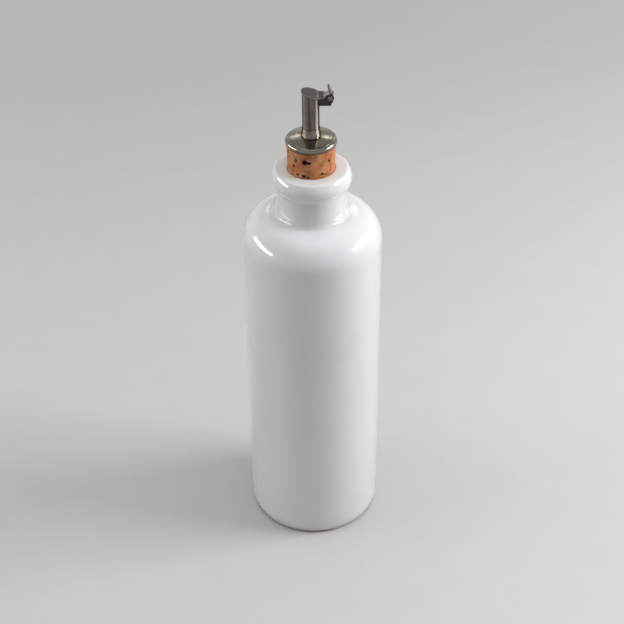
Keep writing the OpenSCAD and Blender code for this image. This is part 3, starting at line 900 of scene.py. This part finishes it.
class DISPENSER_OT_bottle(bpy.types.Operator):
    """Turn the glazed bottle from its packed outline"""
    bl_idname = "dispenser.bottle"
    bl_label = "Bottle"

    def execute(self, context):
        settings = context.scene.dispenser_bottle
        points, closed = half_section("bottle")
        wall, _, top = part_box("bottle")[1]
        bore = min(p.x for p in points if p.y > top - 0.01)
        recess = min(p.x for p in points if p.y < 1e-6)
        # heights of the foot's curve, of the cavity's floor and shoulder, and of the neck's root
        foot, floor, shoulder, root = 0.003, 0.004, 0.2, top - 0.04

        def step(p):
            in_cavity = floor < p.y < shoulder and p.x < 0.8 * wall
            if in_cavity or p.x < bore + 0.0015:
                return HIDDEN_STEP
            # the glaze line needs short edges
            return 0.00012 if p.y < foot and p.x > recess else 0.003

        def outside(p):
            in_cavity = foot < p.y < root and p.x < 0.93 * wall
            return p.x > bore + 0.001 and not in_cavity

        points = divided(rounded(points, closed, 0.0004), closed, step)
        obj = profile_object("bottle_stoneware", points, outside)
        tree = finished_tree(
            "Thrown Bottle",
            floats("Glaze Line", "Glaze Waviness", "Glaze Thickness", "Recess Radius"),
            glaze_shape)
        grown(obj, tree, {
            "Segments": settings.segments, "Wander": settings.wander,
            "Wander Scale": BOTTLE_STRAY,
            "Glaze Line": settings.glaze_line, "Glaze Waviness": settings.glaze_waviness,
            "Glaze Thickness": settings.glaze_thickness, "Recess Radius": recess - 0.0005,
            "Material": glaze(settings)})
        stands_for(obj, "bottle")
        return {"FINISHED"}


class DISPENSER_OT_cork(bpy.types.Operator):
    """Turn the cork and sink its pits"""
    bl_idname = "dispenser.cork"
    bl_label = "Cork"

    def execute(self, context):
        settings = context.scene.dispenser_cork
        points, closed = half_section("cork")
        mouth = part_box("bottle")[1].z
        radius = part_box("cork")[1].x
        bore = min(p.x for p in points)

        def on_side(p):
            return p.x > 0.8 * radius

        def step(p):
            if p.x < bore + 0.0005:
                return HIDDEN_STEP
            if on_side(p):
                # the part above the mouth shows at rest
                return 0.00022 if p.y > mouth - 0.001 else 0.0004
            return 0.0006

        points = divided(rounded(points, closed, 0.0003), closed, step)
        obj = profile_object("cork_stopper", points)
        marks = self.marks([p for p in points if on_side(p)])
        tree = finished_tree(
            "Cork Stopper", (("Marked Pits", "Object", None),
                             *floats("Pit Density", "Pit Size", "Pit Depth", "Grain")),
            cork_shape)
        grown(obj, tree, {
            "Segments": settings.segments, "Seed": settings.seed, "Marked Pits": marks,
            "Pit Density": settings.pit_density, "Pit Size": settings.pit_size,
            "Pit Depth": settings.pit_depth, "Grain": settings.grain,
            "Material": cork_material(settings)})
        bpy.data.objects.remove(marks)
        stands_for(obj, "cork")
        return {"FINISHED"}

    def marks(self, side):
        """Points with a size and a spread for the marked pits; side is the cork's profile."""
        mesh = bpy.data.meshes.new("marked_pits")
        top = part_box("cork")[1].z
        places = []
        for turn, below, _, _ in MARKED_PITS:
            a = math.radians(turn)
            height = top - below / 1000
            radius = min(side, key=lambda p: abs(p.y - height)).x
            places.append((radius * math.cos(a), radius * math.sin(a), height))
        mesh.from_pydata(places, [], [])
        for name, column, unit in (("pit_size", 2, 0.001), ("pit_spread", 3, 1.0)):
            values = mesh.attributes.new(name, "FLOAT", "POINT")
            values.data.foreach_set("value", [mark[column] * unit for mark in MARKED_PITS])
        return placed("marked_pits", mesh)


class DISPENSER_OT_pourer(bpy.types.Operator):
    """Turn the disc, the pour tube, its collar and the washer, and ease the air tube"""
    bl_idname = "dispenser.pourer"
    bl_label = "Pourer"

    def execute(self, context):
        settings = context.scene.dispenser_pourer
        low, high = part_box("flange_disc")
        # painted shade: the rolled rim's side is painted darker, as shade and dark reflection, and
        # its top keeps its colour
        rim = [low.z + share * (high.z - low.z) for share in (0.36, 0.54)]
        polished = steel("steel_polished", settings.warm_reflection_steel_color, waves=WAVE_DEPTH, painted_shade_heights=rim)
        brushed = steel("steel_brushed", settings.dark_reflection_tube_color, roughness=0.37, brushed=1.0,
                        streaks_and_shade=0.7)
        # painted light: the collar is a lighter copy of the tube's steel, so that its glints show
        # brighter
        spun = steel("steel_spun", toned(settings.dark_reflection_tube_color, 1.3), roughness=0.25, brushed=1.0,
                     streaks_and_shade=0.5)
        drawn = steel("steel_drawn", settings.inner_color, roughness=0.26, scratch_scale=1600.0)
        plain = finished_tree("Turned Steel", (), lambda tree, given, mesh: mesh)
        sloped = finished_tree("Sloped Tube", floats("Slope", "Slope From", "Slope Full"),
                               slope_shape)
        # node, piece, slot, material, tree, corner rounding, longest edge, dents
        for node, name, slot, material, tree, corner, longest, dents in (
                ("flange_disc", "disc_steel", "polished_steel", polished, plain, 0.0002, 0.0007,
                 settings.dents),
                ("pour_tube", "tube_steel", "polished_steel", brushed, sloped, 0.00018, 0.002,
                 0.0),
                ("tube_collar", "collar_steel", "polished_steel", spun, plain, 0.00008, 0.001,
                 0.0),
                ("retaining_washer", "washer_steel", "inner_steel", drawn, plain, 0.0002, 0.002,
                 0.0)):
            points, closed = half_section(node)
            points = divided(rounded(points, closed, corner), closed, lambda p: longest)
            obj = profile_object(name, points)
            values = {"Segments": settings.segments, "Wander": dents,
                      "Wander Scale": DISC_DENTS, "Material": material}
            if tree is sloped:
                values.update(self.slope(node, points))
            grown(obj, tree, values)
            stands_for(obj, node)
        air = eased_copy("air_tube", "air_tube_steel", settings.edge, drawn)
        stands_for(air, "air_tube")
        return {"FINISHED"}

    def slope(self, node, points):
        """How the tube's end slopes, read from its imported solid."""
        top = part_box(node)[1].z
        radius = max(p.x for p in points if p.y > top - 0.02)
        front = max(p.y for p in points)
        # distances below the front edge at which the slope begins and at which it is full
        begins, full = 0.012, 0.004
        return {"Slope": (top - front) / (2 * radius), "Slope From": front - begins,
                "Slope Full": front - full}


class DISPENSER_OT_hinge(bpy.types.Operator):
    """Round the edges of the bracket, the pin and the flap"""
    bl_idname = "dispenser.hinge"
    bl_label = "Hinge and flap"

    def execute(self, context):
        settings = context.scene.dispenser_pourer
        # painted shade: the bracket is a near-black copy of the steel
        dark = steel("steel_dull", settings.shaded_hinge_color, roughness=0.22)
        bright = steel("steel_bent", settings.flap_color, roughness=0.14)
        for node, name, slot, material in (
                ("hinge_bracket", "bracket_steel", "hinge_steel", dark),
                ("hinge_pin", "pin_steel", "hinge_steel", bright),
                ("flap_lid", "flap_steel", "flap_steel", bright)):
            piece = eased_copy(node, name, settings.edge, material)
            stands_for(piece, node)
        return {"FINISHED"}


class DISPENSER_PT_panel(bpy.types.Panel):
    """Lists the pieces and their settings"""
    bl_idname = "DISPENSER_PT_panel"
    bl_label = "Dispenser Bottle"
    bl_space_type = "VIEW_3D"
    bl_region_type = "UI"
    bl_category = "Dispenser"

    def draw(self, context):
        for group, operators in PANEL_ROWS:
            box = self.layout.box()
            for operator in operators:
                box.operator(operator.bl_idname)
            settings = getattr(context.scene, group)
            for name in settings.__annotations__:
                box.prop(settings, name)


SETTINGS = {"dispenser_stage": StagePG, "dispenser_bottle": BottlePG, "dispenser_cork": CorkPG,
            "dispenser_pourer": PourerPG}
PANEL_ROWS = (("dispenser_stage", (DISPENSER_OT_stage,)),
              ("dispenser_bottle", (DISPENSER_OT_bottle,)),
              ("dispenser_cork", (DISPENSER_OT_cork,)),
              ("dispenser_pourer", (DISPENSER_OT_pourer, DISPENSER_OT_hinge)))
CLASSES = (*SETTINGS.values(), *(op for _, ops in PANEL_ROWS for op in ops), DISPENSER_PT_panel)


def register():
    for cls in CLASSES:
        bpy.utils.register_class(cls)
    for name, group in SETTINGS.items():
        setattr(bpy.types.Scene, name, PointerProperty(type=group))


def unregister():
    for name in SETTINGS:
        delattr(bpy.types.Scene, name)
    for cls in reversed(CLASSES):
        bpy.utils.unregister_class(cls)


def main():
    """Builds the scene."""
    register()
    bpy.ops.dispenser.stage()
    bpy.ops.dispenser.bottle()
    bpy.ops.dispenser.cork()
    bpy.ops.dispenser.pourer()
    bpy.ops.dispenser.hinge()


if __name__ == "__main__":
    main()
